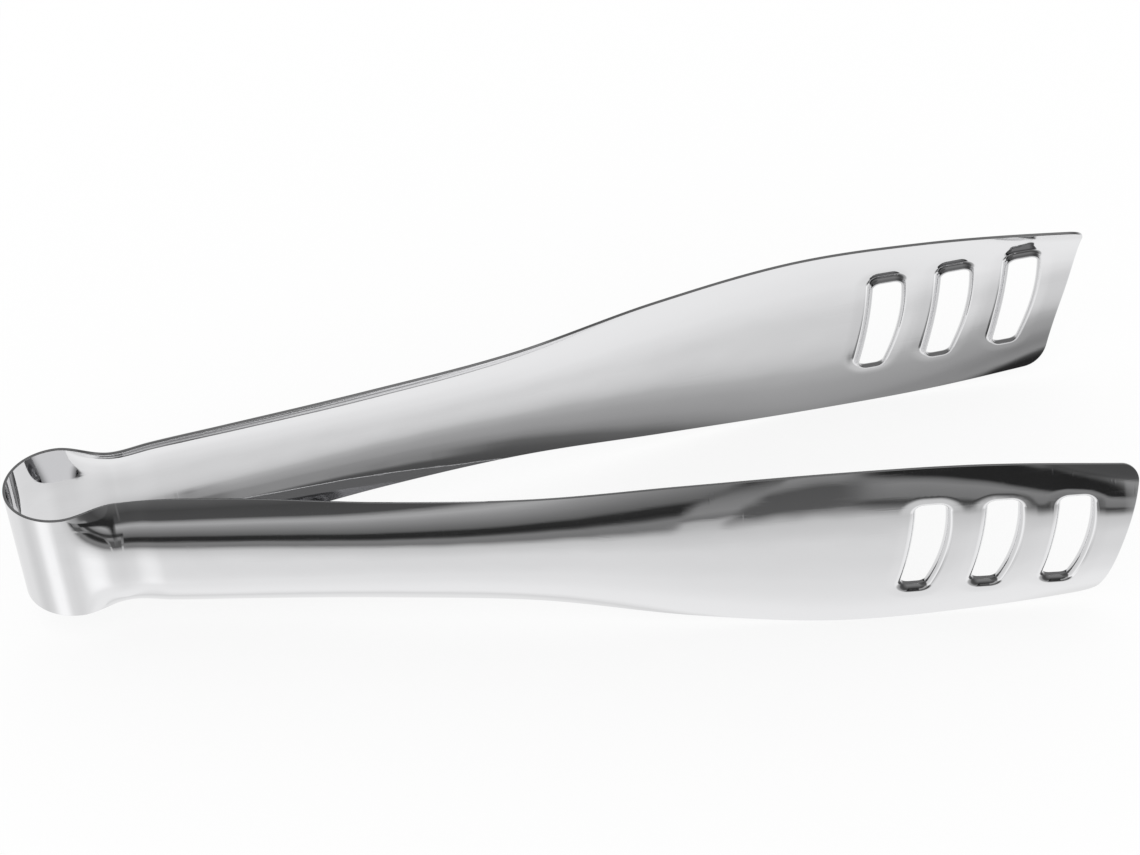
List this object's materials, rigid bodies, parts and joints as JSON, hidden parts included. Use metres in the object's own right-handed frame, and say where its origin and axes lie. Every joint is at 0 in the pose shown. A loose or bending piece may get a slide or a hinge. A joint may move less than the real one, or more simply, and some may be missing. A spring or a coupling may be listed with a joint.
{
  "type": "barbecue tongs",
  "caption": "One bent steel strip: a springy bow joins two trough-shaped arms that widen into slotted blades for gripping and turning food.",
  "frame": {"origin": "centre of the half ellipse that the bow bends round, half way across the strip", "axes": "+X from the bow to the blades, +Y from the front arm to the rear arm, +Z across the strip, so that the tongs stand on their long edges as in the picture"},
  "size_m": [0.2994, 0.0898, 0.0662],
  "materials": {
    "steel": "polished stainless steel"
  },
  "bodies": {
    "bow": {"spring_bow": "steel"},
    "front": {"front_arm": "steel"},
    "rear": {"rear_arm": "steel"}
  },
  "joints": [
    {"name": "front_arm_flex", "type": "hinge", "parent": "bow", "child": "front", "pos_m": [0, -0.0121, 0], "axis": [0, 0, 1], "range_deg": [-2.5, 7.9], "stiffness_Nm_per_rad": 12, "deforming": ["spring_bow"]},
    {"name": "rear_arm_flex", "type": "hinge", "parent": "bow", "child": "rear", "pos_m": [0, 0.0121, 0], "axis": [0, 0, -1], "range_deg": [-2.5, 7.9], "stiffness_Nm_per_rad": 12, "deforming": ["spring_bow"]}
  ],
  "couplings": [
    {"joint": "rear_arm_flex", "follows": "front_arm_flex", "ratio": 1}
  ]
}
